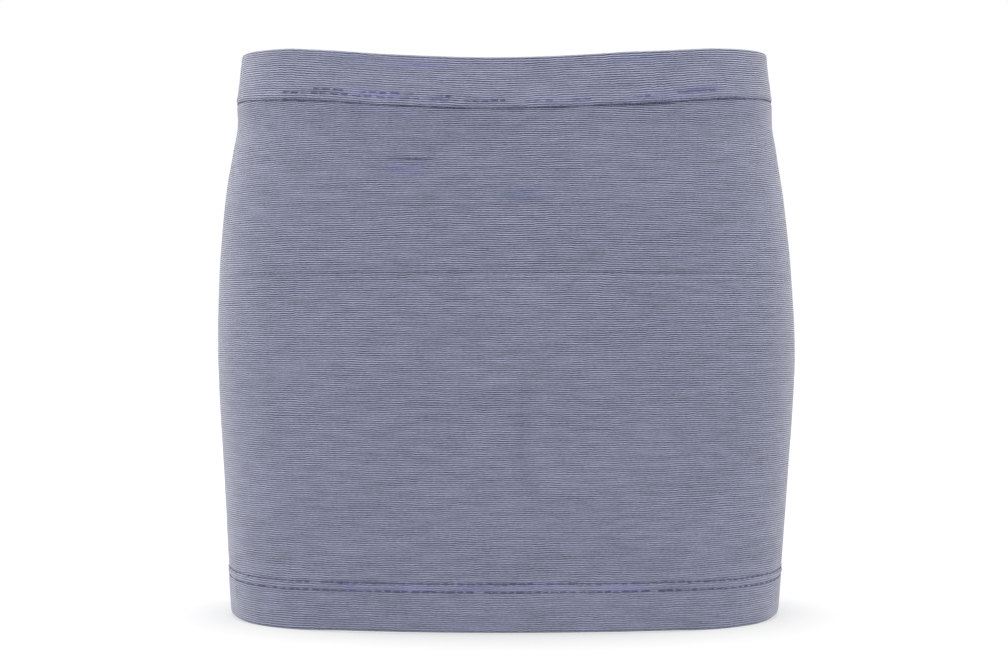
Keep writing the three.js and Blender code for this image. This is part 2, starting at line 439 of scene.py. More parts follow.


# Streaks, listed as the creases are: most are streaks of yarn, and the three that lie on creases are
# painted shade in the troughs and painted highlight on the ridge. tone is how much paler or, below
# zero, darker they are, and blue how far they turn lilac.
Streak = namedtuple("Streak", "half at level reach breadth tone blue")
STREAKS_AND_CREASE_SHADING = [
    Streak("front", 0, 137, 190, 0.9, -0.22, 0.0),
    Streak("front", 70, 139, 90, 0.9, 0.16, 0.0),
    Streak("front", -10, 95, 170, 0.8, -0.12, 0.0),
    # The next three lie on creases: painted shade in the two troughs and a painted highlight on the
    # ridge
    Streak("front", 12, 224, 4, 30, -0.10, 0.1),
    Streak("front", 4, 199, 20, 2.0, 0.10, 0.0),
    Streak("front", -57, 64, 12, 0.7, -0.55, 0.2),
    Streak("front", -60, 71, 14, 5.0, -0.06, 0.5),
    Streak("front", 10, 88, 12, 6.0, -0.08, 0.5),
    Streak("front", -97, 32.4, 11, 1.9, 0.0, 0.45),
    Streak("front", -64, 37, 18, 4.0, -0.02, 0.15),
    Streak("front", -83, 23.5, 19, 2.2, 0.06, 0.6),
    Streak("front", -118, 24, 16, 0.7, -0.25, 0.2),
    Streak("front", -42, 25, 9, 1.6, -0.18, 0.5),
    Streak("front", -14, 25.5, 9, 1.1, -0.25, 0.5),
    Streak("front", 48, 25.6, 8, 0.8, -0.25, 0.3),
    Streak("front", 90, 25.4, 8, 0.8, -0.22, 0.3),
    Streak("front", 132, 23.4, 16, 1.3, -0.20, 0.8),
    Streak("front", -92, 5.0, 8, 1.2, -0.03, 0.5),
    Streak("front", -54, 5.6, 21, 1.5, -0.04, 0.6),
    Streak("front", 88, 5.2, 22, 1.4, -0.03, 0.45),
    Streak("front", -103, 315.0, 6, 1.3, 0.0, 0.7),
    Streak("front", -89, 316.8, 7, 2.2, 0.0, 0.7),
    Streak("front", -59, 317.0, 17, 2.1, 0.05, 0.65),
    Streak("front", -20, 317.6, 13, 2.0, 0.02, 0.7),
    Streak("front", 22, 316.2, 22, 1.3, 0.12, 0.55),
    Streak("front", 71, 316.9, 15, 2.1, 0.06, 0.65),
    Streak("back", -96, 316.8, 28, 2.0, 0.04, 0.65),
    Streak("back", -12, 317.0, 22, 2.0, 0.02, 0.65),
    Streak("back", 62, 316.8, 32, 2.0, 0.05, 0.65),
    Streak("back", -70, 24, 30, 1.2, -0.20, 0.5),
    Streak("back", 84, 24.5, 24, 1.4, -0.18, 0.5),
    Streak("back", 10, 158, 200, 0.9, -0.18, 0.0),
    Streak("back", -20, 236, 180, 0.8, -0.14, 0.0),
    Streak("back", 60, 74, 14, 0.7, -0.45, 0.2),
    Streak("back", -50, 190, 14, 5.0, -0.06, 0.4),
]


def streaks(around, level):
    """Tone and blue of the streaks, with the painted shade and highlight on creases among them."""
    tone = np.zeros(np.broadcast(around, level).shape)
    blue = tone.copy()
    for streak in STREAKS_AND_CREASE_SHADING:
        offset = around - around_at(MIDDLES[streak.half]) - streak.at
        offset = (offset + ROUND_IT / 2) % ROUND_IT - ROUND_IT / 2
        spot = bell(offset, streak.reach, 4) * bell(level - streak.level, streak.breadth)
        tone += streak.tone * spot
        blue += streak.blue * spot
    return tone, blue


# Meshes

MM = 0.001


def new_mesh(name, points, faces, material):
    mesh = bpy.data.meshes.new(name)
    mesh.from_pydata((points * MM).tolist(), [], faces)
    mesh.polygons.foreach_set("use_smooth", np.ones(len(mesh.polygons), bool))
    mesh.materials.append(material)
    piece = bpy.data.objects.new(name, mesh)
    bpy.context.scene.collection.objects.link(piece)
    return piece


def quads(upper, lower):
    """Faces between two lines of point numbers that run side by side."""
    return np.stack([upper[:-1], lower[:-1], lower[1:], upper[1:]], axis=1)


def strip(start, end, rows, columns):
    """Corners of a grid of faces on a strip of the map."""
    u = np.linspace(0, 1, columns + 1)
    v = np.linspace(start, end, rows + 1)
    corner = lambda dr, dc: np.stack(np.meshgrid(u[dc:columns + dc], v[dr:rows + dr]), axis=-1)
    return np.stack([corner(0, 0), corner(1, 0), corner(1, 1), corner(0, 1)], axis=2).reshape(-1, 4, 2)


# Strips of the map OFBake, each from and to: the wall's faces, its edges and its two ends
OUTER_STRIP = (0.0, 0.60)
ENDS_STRIP = (0.608, 0.632)
INNER_STRIP = (0.64, 0.97)
TOP_STRIP = (0.975, 0.983)
BOTTOM_STRIP = (0.988, 0.996)
ENDS_START = (0.0, 0.51)          # where each end starts along its strip
ENDS_LENGTH = 0.49


def shell(name, outer, inner, behind, material, fields):
    """A closed wall of cloth from its outer and inner grids of points. behind gives, for each row
    of the inner grid, the row of the outer grid that it lies behind."""
    rows, columns = outer.shape[:2]
    out = np.arange(rows * columns).reshape(rows, columns)
    inn = rows * columns + np.arange(len(behind) * columns).reshape(len(behind), columns)
    faces = [quads(out[r], out[r + 1]) for r in range(rows - 1)]
    faces += [quads(inn[r + 1], inn[r]) for r in range(len(behind) - 1)]
    faces += [quads(inn[0], out[0]), quads(out[-1], inn[-1])]
    faces = np.concatenate(faces)
    steps = columns - 1
    places = [
        strip(*OUTER_STRIP, rows - 1, steps),
        strip(*INNER_STRIP, len(behind) - 1, steps),
        strip(*TOP_STRIP, 1, steps),
        strip(*BOTTOM_STRIP, 1, steps),
    ]
    faces, places = faces.tolist(), np.concatenate(places).reshape(-1, 2)
    ends = []
    for k in range(len(behind) - 1):
        run = np.arange(behind[k], behind[k + 1] + 1)
        for side, start in zip((0, columns - 1), ENDS_START):
            loop = np.append(out[run, side], [inn[k + 1, side], inn[k, side]])
            along = np.append(run, [behind[k + 1], behind[k]]) / (rows - 1) * ENDS_LENGTH + start
            across = np.append(np.full(len(run), ENDS_STRIP[0]), [ENDS_STRIP[1], ENDS_STRIP[1]])
            place = np.stack([along, across], axis=1)
            if side == 0:
                loop, place = loop[::-1], place[::-1]
            faces.append(loop.tolist())
            ends.append(place)
    points = np.concatenate([outer.reshape(-1, 3), inner.reshape(-1, 3)])
    piece = new_mesh(name, points, faces, material)
    layer = piece.data.uv_layers.new(name="OFBake")
    layer.data.foreach_set("uv", np.concatenate([places, *ends]).ravel())
    for field, (on_outer, on_inner) in fields.items():
        values = np.concatenate([on_outer.reshape(rows * columns, -1), on_inner.reshape(inn.size, -1)])
        vector = values.shape[1] == 3
        kind, slot = ("FLOAT_VECTOR", "vector") if vector else ("FLOAT", "value")
        piece.data.attributes.new(field, kind, "POINT").data.foreach_set(slot, values.ravel())
    return piece


def cloth_fields(around, level, ribs, strength, tone, blue, outside):
    """What the jersey's material reads from the mesh."""
    full = np.broadcast(around, level).shape
    place = np.stack(np.broadcast_arrays(around, level, float(outside)), axis=-1)
    spread = lambda value: np.broadcast_to(value, full)
    return {
        "place": place,
        "ribs": spread(ribs),
        "strength": spread(strength),
        "tone": spread(tone),
        "blue": spread(blue),
    }


# Level, and how high the ribs stand there as a share of the height on the waistband
RIB_HEIGHT = (
    (0, 1.03), (28, 1.03), (34, 0.97), (150, 0.92), (200, 0.80), (290, 0.72), (312, 0.68), (330, 0.64),
)


RIB_SEED = 41
RIBS_DRAWN = 300
RIB_SPREAD = 0.13                 # how much higher or flatter a rib is than its neighbours
FRONT_RIBS = 0.95                 # height in the middle of the front and back
SIDE_RIBS = 0.10                  # what the side seams add to it


def rib_strength(around, level, ribs):
    """Each rib is a little higher or flatter than its neighbours, and changes along its length."""
    each = np.random.default_rng(RIB_SEED).uniform(-RIB_SPREAD, RIB_SPREAD, RIBS_DRAWN)
    own = each[np.round(ribs).astype(int) % RIBS_DRAWN]
    change = unevenness(around, level, HEIGHT_SPOTS)
    sideways = FRONT_RIBS + SIDE_RIBS * np.sin(angle_at(around)) ** 2
    return np.interp(level, *zip(*RIB_HEIGHT)) * (1 + own + change) * sideways


def both(outer, inner):
    """The outer and the inner face's values, paired by name."""
    return {name: (outer[name], inner[name]) for name in outer}


REVERSE_STRENGTH = 0.6            # the panel's ribs on its reverse side

# Tones are added to 1, the cloth's own. The darkening in the seam cracks, along the sewn rows, at the
# hem's bottom edge, at the band's sides and along its top edge is painted shade.
SEAM_PAINTED_SHADE = 0.38
SEAM_PAINTED_SHADE_RANGE = (0.1, 0.8)
SEAM_PAINTED_SHADE_REACH = 0.7
SEWN_ROW_PAINTED_SHADE = {UPPER_ROW: 0.50, LOWER_ROW: 0.25}
HEM_PALENESS = 0.045
HEM_EDGE_PAINTED_SHADE = 0.35
BAND_PALENESS = 0.10
BAND_SIDE_PAINTED_SHADE = 0.15
BAND_EDGE_PAINTED_SHADE = 0.30
SEAM_BLUE = 0.5
SEAM_BLUE_WIDE = 34
SEAM_BLUE_TALL = 60
PANEL_SEAM_BLUE = {"seed": 66, "reach": 2.5}
BAND_SEAM_BLUE = {"seed": 67, "reach": 5.0}
WAIST_SEAM_SEED = 51
SEWN_ROW_SEEDS = (61, 63)
HEM_PALE_FROM = (306, 312)
HEM_EDGE = (SKIRT_LENGTH - 1.6, SKIRT_LENGTH - 0.2)
BAND_EDGE = (0.2, 1.7)


def seam_painted_shade(around, away, seed):
    """Painted shade in the crack of a seam or the groove of a sewn row, deeper in some stretches than
    in others.
    """
    stretches = (Spots(0.30, seed, 30, 90), Spots(0.2, seed + 1, 7, 90))
    deep = np.clip(SEAM_PAINTED_SHADE + unevenness(around, away, stretches), *SEAM_PAINTED_SHADE_RANGE)
    return -deep * np.exp(-np.abs(away) / SEAM_PAINTED_SHADE_REACH)


def seam_blue(around, level, seed, reach):
    """Lilac yarn beside the waist seam, in some stretches."""
    away = np.abs(level - BAND_HEIGHT)
    patches = np.clip(noise(around, level, seed, SEAM_BLUE_WIDE, SEAM_BLUE_TALL), 0, 1)
    return SEAM_BLUE * patches * np.exp(-away / reach)


def panel_inset(around, level):
    """Inset of a body panel without its ribs."""
    return (
        broad_inset(around, level)
        + pucker(around, level - BAND_HEIGHT, PUCKER_SEEDS["waist_seam"])
        + pucker(around, level - UPPER_ROW, PUCKER_SEEDS["hem_rows"])
        + stitched_inset(around, level)
    )


def band_inset(around, level):
    """Inset of the waistband without its ribs and its fold."""
    calm = smoothstep(level, 0, BAND_TOP_STRAIGHT)
    calm = calm * (1 - smoothstep(level, BAND_HEIGHT - BAND_SEAM_STRAIGHT, BAND_HEIGHT))
    bulge = BAND_BULGE * bell(level - (BAND_HEIGHT - BAND_BULGE_ABOVE_SEAM), BAND_BULGE_REACH)
    return (
        unevenness(around, level, BAND_BROAD_SPOTS) * calm
        + unevenness(around, level, BAND_SMALL_SPOTS)
        - bulge
        + side_inset(angle_at(around), level)
        + pucker(around, level - BAND_HEIGHT, PUCKER_SEEDS["band"])
    )


def columns(half, spacing):
    """Places round a half and their angles, and how far each is from the nearer side seam."""
    middle = MIDDLES[half]
    around = half_columns(middle, spacing)[None, :]
    ends = around_at(np.array([middle - math.pi / 2, middle + math.pi / 2]))
    return around, angle_at(around), np.minimum(around - ends[0], ends[1] - around)


def close_to_seams(grids, half):
    """Stands both ends of a half's grids back from the side seams."""
    for grid in grids:
        grid[:, (0, -1), 1] = -math.cos(MIDDLES[half]) * SIDE_GAP / 2


# Levels where the panel's inner face has a row of points of its own
INNER_LEVELS = (
    BAND_HEIGHT + 1.5, BAND_HEIGHT + SEAM_ALLOWANCE - 0.4, BAND_HEIGHT + SEAM_ALLOWANCE + 0.4,
    SKIRT_LENGTH - HEM_ALLOWANCE - 0.6, SKIRT_LENGTH - HEM_ALLOWANCE + 0.4,
    UPPER_ROW - 1, UPPER_ROW, UPPER_ROW + 1, LOWER_ROW - 1, LOWER_ROW, LOWER_ROW + 1,
    SKIRT_LENGTH - 1.6, SKIRT_LENGTH - 0.9,
)


def inner_rows(course):
    """The rows of the outer face that the inner face's rows lie behind."""
    last = len(course) - 1
    behind = {int(np.argmin(np.abs(course[:, 0] - level))) for level in INNER_LEVELS}
    plain = range(INNER_ROW_STEP, last - 6, INNER_ROW_STEP)
    return np.array(sorted(behind | {0, last} | set(plain)))


def panel_wall(half, around, level, to_seam):
    """Thickness of a body panel, with its seam allowances and the turned-up hem."""
    above_hem = level < SKIRT_LENGTH - HEM_ALLOWANCE
    wall = CLOTH_WALL + np.zeros_like(level)
    wall += (HEM_WALL - CLOTH_WALL) * (level > SKIRT_LENGTH - HEM_ALLOWANCE)
    ragged = 1 + unevenness(around, level, ALLOWANCE_SPOTS)
    wall += ALLOWANCE_WALL * (level < BAND_HEIGHT + SEAM_ALLOWANCE) * ragged
    if half == "back":
        wall += ALLOWANCE_WALL * (to_seam < SEAM_ALLOWANCE) * above_hem
    for row in (UPPER_ROW, LOWER_ROW):
        wall -= THREAD_DENT * bell(level - row, THREAD_DENT_REACH)
    return wall


def body_panel(half, material):
    """One body panel as a closed wall."""
    top, bottom = BAND_HEIGHT + WAIST_GAP / 2, SKIRT_LENGTH
    first, last = ribs_above(top), ribs_above(bottom)
    count = round(last - first)
    rows = np.linspace(first, last, count * ROWS_PER_RIB + 1)
    course = np.interp(rows, RIBS_ABOVE, RIB_DEPTHS)[:, None]
    around, angle, to_seam = columns(half, PANEL_COLUMN)
    # The body's ribs run level, so the waist seam cuts across them
    depth = -cloth_point(course, 0.0, angle)[..., 2]
    ribs = (ribs_above(depth) - first) / (last - first) * count

    # Outer face
    calm = smoothstep(course, top, top + PANEL_STRAIGHT)
    calm = calm * (1 - smoothstep(course, bottom - PANEL_STRAIGHT, bottom))
    near_rows = bell(course - BETWEEN_ROWS, NEAR_ROWS, 4)
    level = course + wander(around, course) * calm * (1 - HELD_BY_ROWS * near_rows)
    strength = rib_strength(around, course, ribs)
    roll = PANEL_ROLL * np.clip(1 - (course - BAND_HEIGHT) / PANEL_ROLL_HEIGHT, 0, 1) ** 2
    inset = (
        panel_inset(around, level)
        + rib_inset(ribs) * strength * (1 - FLATTENED_BY_ROWS * near_rows)
        + roll
        + seam_side_inset(to_seam)
        + fold_inset(bottom - course, HEM_FOLD)
    )
    outer = cloth_point(level, inset, angle, edge_drop(angle, level))
    tone, blue = streaks(around, level)
    # Painted shade in the crack of the waist seam
    tone = tone + seam_painted_shade(around, level - BAND_HEIGHT, WAIST_SEAM_SEED)
    # Painted shade in the grooves of the hem's two sewn rows
    for (row, row_shade), seed in zip(SEWN_ROW_PAINTED_SHADE.items(), SEWN_ROW_SEEDS):
        tone = tone + row_shade * seam_painted_shade(around, level - row, seed)
    tone = tone + HEM_PALENESS * smoothstep(level, *HEM_PALE_FROM)
    # Painted shade along the hem's bottom edge, close to the floor
    tone = tone - HEM_EDGE_PAINTED_SHADE * smoothstep(level, *HEM_EDGE)
    blue = blue + seam_blue(around, level, **PANEL_SEAM_BLUE)
    outside = cloth_fields(around, level, ribs, strength, tone, blue, 1)

    # Inner face
    behind = inner_rows(course)
    inner_level = level[behind]
    wall = panel_wall(half, around, inner_level, to_seam) + INNER_CLEARANCE
    fold = fold_inset(bottom - course[behind], HEM_FOLD)
    inner_inset = broad_inset(around, inner_level) + wall - fold
    inner_inset = np.maximum(inner_inset, inset[behind] + THINNEST_PANEL)
    inner = cloth_point(inner_level, inner_inset, angle, edge_drop(angle, inner_level))
    reverse = strength[behind] * REVERSE_STRENGTH
    inside = cloth_fields(around, inner_level, ribs[behind], reverse, 0.0, 0.0, 0)

    close_to_seams((outer, inner), half)
    return shell(f"jersey_{half}", outer, inner, behind, material, both(outside, inside))


def waistband(half, material):
    """One half of the folded waistband as a closed wall."""
    top, bottom = 0.0, BAND_HEIGHT - WAIST_GAP / 2
    count = round((bottom - top) / BAND_RIB_PITCH)
    course = np.linspace(top, bottom, count * ROWS_PER_RIB + 1)[:, None]
    ribs = (course - top) / (bottom - top) * count
    around, angle, to_seam = columns(half, BAND_COLUMN)
    calm = smoothstep(course, top, top + BAND_TOP_STRAIGHT)
    calm = calm * (1 - smoothstep(course, bottom - BAND_SEAM_STRAIGHT, bottom))
    level = course + BAND_WANDER * wander(around, BAND_WANDER_FROM - course) * calm
    strength = rib_strength(around, course, ribs + BAND_FIRST_RIB)
    broad = band_inset(around, level)
    fold = fold_inset(course - top, WAIST_FOLD)
    roll = BAND_ROLL * np.clip(1 - (bottom - course) / BAND_ROLL_HEIGHT, 0, 1) ** 2
    raised = rib_inset(ribs) * strength
    inset = broad + raised + fold + roll + seam_side_inset(to_seam)
    outer = cloth_point(level, inset, angle, edge_drop(angle, level))
    tone, blue = streaks(around, level)
    # The band is paler all over, with painted shade towards its sides where the side lights fall
    tone = tone + BAND_PALENESS - BAND_SIDE_PAINTED_SHADE * at_sides(angle)
    # Painted shade in the crack of the waist seam
    tone = tone + seam_painted_shade(around, level - BAND_HEIGHT, WAIST_SEAM_SEED)
    # Painted shade along the band's top fold
    tone = tone - BAND_EDGE_PAINTED_SHADE * (1 - smoothstep(course, *BAND_EDGE))
    blue = blue + seam_blue(around, level, **BAND_SEAM_BLUE)
    outside = cloth_fields(around, level, ribs, strength, tone, blue, 1)
    wall = BAND_WALL + unevenness(around, course, BAND_WALL_SPOTS)
    inner_inset = broad + wall - raised - fold - INNER_ROLL * roll
    inner_inset = np.maximum(inner_inset, inset + THINNEST_BAND)
    inner = cloth_point(level, inner_inset, angle, edge_drop(angle, level))
    inside = cloth_fields(around, level, ribs, strength, 0.0, 0.0, 0)
    close_to_seams((outer, inner), half)
    behind = np.arange(len(course))
    return shell(f"band_{half}", outer, inner, behind, material, both(outside, inside))


# Sewing thread

# A stitch's thickness along its length, as a share of its radius
DASH_PROFILE = np.array([0.3, 0.85, 1.0, 0.9, 1.0, 0.85, 0.3])
DASH_SIDES = 6
DASH_TALL = 1.15                  # the thread lies a little flattened on the cloth
DASH_THICK = 0.8
DASH_END_INSET = 0.35             # how far its ends go down into the cloth

# How far one stitch strays from the next
PITCH_RANGE = (0.85, 1.25)
LENGTH_RANGE = (0.7, 1.1)
RADIUS_RANGE = (0.7, 1.2)
PROUD_RANGE = (-0.10, 0.10)
LEAN_SPREAD = 0.025
LEVEL_SPREAD = 0.12
MISSED = 0.05                     # share of the stitches that don't show


def dash(level, inset, angle, radius):
    """One stitch: a short flattened thread whose ends go down into the cloth."""
    steps = len(DASH_PROFILE)
    inset = inset + DASH_END_INSET * np.abs(np.linspace(-1, 1, steps)) ** 8
    drop = edge_drop(angle, level)
    centre = cloth_point(level, inset, angle, drop)
    outward = cloth_point(level, inset - 1, angle, drop) - centre
    outward /= np.linalg.norm(outward, axis=1, keepdims=True)
    along = np.gradient(centre, axis=0)
    along /= np.linalg.norm(along, axis=1, keepdims=True)
    up = np.cross(outward, along)
    turn = np.arange(DASH_SIDES) / DASH_SIDES * 2 * math.pi
    ring = (
        np.cos(turn)[None, :, None] * up[:, None] * DASH_TALL
        + np.sin(turn)[None, :, None] * outward[:, None] * DASH_THICK
    ) * (radius * DASH_PROFILE)[:, None, None]
    points = (centre[:, None] + ring).reshape(-1, 3)
    faces = []
    for step in range(steps - 1):
        for side in range(DASH_SIDES):
            a = step * DASH_SIDES + side
            b = step * DASH_SIDES + (side + 1) % DASH_SIDES
            faces.append([a, b, b + DASH_SIDES, a + DASH_SIDES])
    faces.append(list(range(DASH_SIDES))[::-1])
    faces.append([(steps - 1) * DASH_SIDES + side for side in range(DASH_SIDES)])
    return points, faces


# A row of stitches. start and end are lengths round from the middle of the half, pitch the length
# from stitch to stitch, share the part of it that the thread covers, and proud how far the thread's
# middle stands out from the cloth.
Stitching = namedtuple("Stitching", "half start end level pitch share radius proud seed")


def stitches(name, rows, under, material):
    """Rows of stitches as one mesh, on the cloth whose inset is under(around, level)."""
    points, faces, count = [], [], 0
    steps = len(DASH_PROFILE)
    for row in rows:
        draw = np.random.default_rng(row.seed)
        middle = around_at(MIDDLES[row.half])
        place = row.start
        while place < row.end - row.pitch * 0.5:
            pitch = row.pitch * draw.uniform(*PITCH_RANGE)
            length = pitch * row.share * draw.uniform(*LENGTH_RANGE)
            lean = draw.normal(0, LEAN_SPREAD) * length * np.linspace(-1, 1, steps)
            level = row.level + draw.normal(0, LEVEL_SPREAD) + lean
            proud = row.proud + draw.uniform(*PROUD_RANGE)
            radius = row.radius * draw.uniform(*RADIUS_RANGE)
            if draw.uniform() > MISSED:
                around = middle + place + length * np.linspace(0, 1, steps)
                inset = under(around, level) - proud
                own_points, own_faces = dash(level, inset, angle_at(around), radius)
                points.append(own_points)
                faces += [[count + i for i in face] for face in own_faces]
                count += len(own_points)
            place += pitch
    return new_mesh(name, np.concatenate(points), faces, material)


HEM_REACH = 243.0
HEM_STITCHES = [
    Stitching("front", -HEM_REACH, HEM_REACH, UPPER_ROW, 5.2, 1.0, 0.34, 0.32, 81),
    Stitching("front", -HEM_REACH, HEM_REACH, LOWER_ROW, 5.2, 1.0, 0.28, 0.18, 82),
    Stitching("back", -HEM_REACH, HEM_REACH, UPPER_ROW, 5.2, 1.0, 0.34, 0.32, 83),
    Stitching("back", -HEM_REACH, HEM_REACH, LOWER_ROW, 5.2, 1.0, 0.28, 0.18, 84),
]
TOPSTITCHES = [
    Stitching("front", -150, -48, 24.9, 7.0, 0.92, 0.23, 0.16, 91),
    Stitching("front", -134, -52, 22.4, 7.6, 0.92, 0.23, 0.16, 92),
    Stitching("front", -46, 2, 25.2, 6.2, 0.85, 0.24, 0.14, 90),
    Stitching("front", -42, -20, 22.9, 5.4, 0.80, 0.22, 0.12, 89),
    Stitching("front", 12, 34, 25.6, 7.0, 0.80, 0.20, 0.10, 88),
    Stitching("front", 42, 54, 25.4, 6.0, 0.85, 0.22, 0.12, 93),
    Stitching("front", 84, 98, 25.4, 6.0, 0.80, 0.20, 0.08, 94),
    Stitching("front", 113, 145, 24.2, 6.0, 1.15, 0.40, 0.16, 95),
    Stitching("back", -160, -20, 25.2, 8.2, 0.80, 0.22, 0.12, 96),
    Stitching("back", 30, 130, 25.4, 7.8, 0.80, 0.22, 0.12, 97),
]
# The waist seam's thread lies in the crack between the band and the body. It shows more where the
# seam gapes: the first rows run all the way round, and the rest are its fuller stretches.
SEAM_STITCHES = [
    Stitching("front", -HEM_REACH, HEM_REACH, BAND_HEIGHT, 2.2, 0.96, 0.25, 0.12, 101),
    Stitching("back", -HEM_REACH, HEM_REACH, BAND_HEIGHT, 2.2, 0.96, 0.25, 0.12, 102),
    Stitching("front", -150, -132, BAND_HEIGHT, 1.3, 0.90, 0.50, 0.34, 103),
    Stitching("front", -128, -88, BAND_HEIGHT, 1.6, 0.90, 0.44, 0.28, 104),
    Stitching("front", 0, 14, BAND_HEIGHT, 1.5, 0.80, 0.42, 0.28, 109),
    Stitching("front", 57, 108, BAND_HEIGHT, 1.3, 0.85, 0.58, 0.42, 105),
    Stitching("front", 140, 172, BAND_HEIGHT, 1.3, 0.85, 0.54, 0.40, 106),
    Stitching("back", -100, -56, BAND_HEIGHT, 1.3, 0.85, 0.50, 0.36, 107),
    Stitching("back", 96, 132, BAND_HEIGHT, 1.3, 0.85, 0.50, 0.36, 108),
]


SEAM_DEPTH = 0.62


def seam_inset(around, level):
    """Inset of the crack between the waistband and the body."""
    return band_inset(around, level) + SEAM_DEPTH


# Materials

def node(tree, kind, inputs=None, **settings):
    """A new node with its settings. Inputs are numbers, colours or other nodes' outputs."""
    new = tree.nodes.new(kind)
    for key, value in settings.items():
        setattr(new, key, value)
    for key, value in (inputs or {}).items():
        if isinstance(value, bpy.types.NodeSocket):
            tree.links.new(value, new.inputs[key])
        else:
            new.inputs[key].default_value = value
    return new


def new_material(name):
    """A material with its node tree and its shader."""
    material = bpy.data.materials.new(name)
    material.use_nodes = True
    tree = material.node_tree
    tree.nodes.clear()
    shader = node(tree, "ShaderNodeBsdfPrincipled")
    node(tree, "ShaderNodeOutputMaterial", {"Surface": shader.outputs["BSDF"]})
    return material, tree, shader


def arithmetic(tree, operation, *values, clamp=False):
    """A sum of numbers and other nodes' outputs, kept from 0 to 1 where clamp is true."""
    inputs = dict(enumerate(values))
    return node(tree, "ShaderNodeMath", inputs, operation=operation, use_clamp=clamp).outputs[0]


# Places of the colour sockets on a Mix node, whose names it shares with its other sockets
MIX_A = 6
MIX_B = 7
MIX_RESULT = 2


def mixed(tree, factor, a, b):
    """A colour between a and b, which are colours or other nodes' outputs."""
    inputs = {"Factor": factor, MIX_A: a, MIX_B: b}
    return node(tree, "ShaderNodeMix", inputs, data_type="RGBA").outputs[MIX_RESULT]


def field(tree, name, output="Fac"):
    """What the mesh holds under a name."""
    return node(tree, "ShaderNodeAttribute", attribute_name=name).outputs[output]


def spots(tree, place, wide, tall, detail=1.0, shift=0.0):
    """Noise from 0 to 1 whose spots are wide by tall millimetres of cloth."""
    mapping = node(
        tree, "ShaderNodeMapping",
        {"Vector": place, "Scale": (1 / wide, 1 / tall, 1.0), "Location": (shift, shift, shift)},
    )
    texture = node(
        tree, "ShaderNodeTexNoise",
        {"Vector": mapping.outputs[0], "Scale": 1.0, "Detail": detail, "Roughness": 0.5},
    )
    return texture.outputs["Fac"]


# Long streaks, short flecks and large pale areas. shift keeps each from looking like the others.
Yarn = namedtuple("Yarn", "wide tall detail shift size")
YARNS = (
    Yarn(16.0, 2.6, 2.0, 1.3, 0.55),
    Yarn(2.2, 1.0, 1.0, 5.9, 0.6),
    Yarn(60.0, 34.0, 2.0, 9.2, 0.16),
)
# The valleys' colour is partly the yarn's own and partly painted shade in the valleys
VALLEY_COLOUR_AND_SHADE = (0.044, 0.048, 0.095, 1.0)
CREST_COLOUR = (0.356, 0.369, 0.484, 1.0)
BLUE_COLOUR = (0.175, 0.185, 0.400, 1.0)
GREY_COLOUR = (0.160, 0.190, 0.235, 1.0)
BLUE_MOST = 0.55                  # most that the lilac yarn covers
DARKEST = 0.12
REVERSE_RIBS = 0.55               # strength of the ribs' colours on the reverse side
KNIT_BUMP = {"Strength": 0.5, "Distance": 0.00015}
THREAD_DARK = (0.050, 0.055, 0.125, 1.0)
THREAD_LIGHT = (0.120, 0.130, 0.265, 1.0)
THREAD_BUMP = {"Strength": 0.4, "Distance": 0.0001}


def finish_shader(tree, shader, colour, bump, settings):
    """Gives a shader its colour, its bump and the values that are the same all over."""
    normal = node(tree, "ShaderNodeBump", bump).outputs["Normal"]
    tree.links.new(colour, shader.inputs["Base Color"])
    tree.links.new(normal, shader.inputs["Normal"])
    for name, value in settings.items():
        shader.inputs[name].default_value = value


